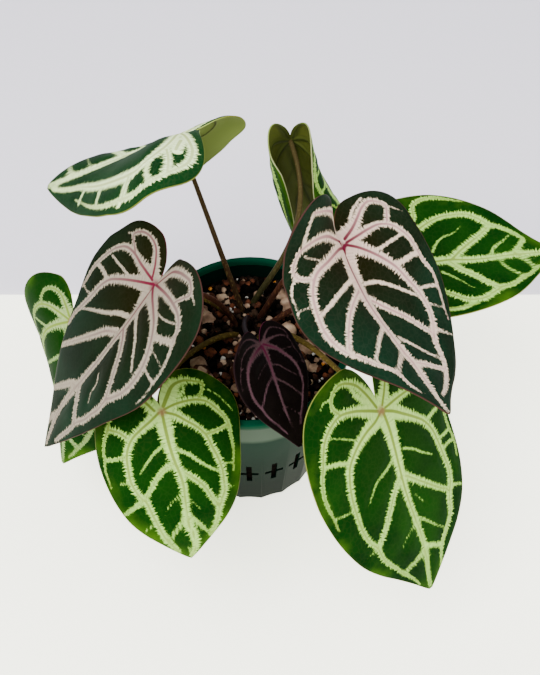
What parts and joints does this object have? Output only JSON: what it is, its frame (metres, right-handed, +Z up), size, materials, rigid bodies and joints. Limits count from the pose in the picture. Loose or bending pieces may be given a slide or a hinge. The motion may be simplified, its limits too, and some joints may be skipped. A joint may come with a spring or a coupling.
{
  "type": "potted anthurium",
  "caption": "Potted anthurium with broad heart-shaped, pale-veined leaves on thin stalks, in a tapered plastic nursery pot filled with chunky potting mix.",
  "frame": {"origin": "under the middle of the pot, on the surface that it stands on", "axes": "+Z up, -Y to the front as in the picture, +X to the right"},
  "size_m": [0.3278, 0.2368, 0.2705],
  "materials": {
    "green_plastic": "semi-gloss moulded",
    "potting_mix": "loose, matte",
    "blade_green": "velvet, pale veins",
    "blade_dark": "velvet, pinkish veins",
    "blade_purple": "velvet, purple veins",
    "stalk": "smooth, satin"
  },
  "bodies": {
    "root": {"pot": "green_plastic", "soil": "potting_mix", "leaf_back_left": "blade_green", "petiole_back_left": "stalk", "leaf_left": "blade_dark", "petiole_left": "stalk", "leaf_far_left": "blade_green", "petiole_far_left": "stalk", "leaf_front_left": "blade_green", "petiole_front_left": "stalk", "leaf_centre": "blade_purple", "petiole_centre": "stalk", "leaf_right": "blade_dark", "petiole_right": "stalk", "leaf_front_right": "blade_green", "petiole_front_right": "stalk", "leaf_far_right": "blade_green", "petiole_far_right": "stalk", "leaf_back": "blade_green", "petiole_back": "stalk"}
  },
  "joints": []
}
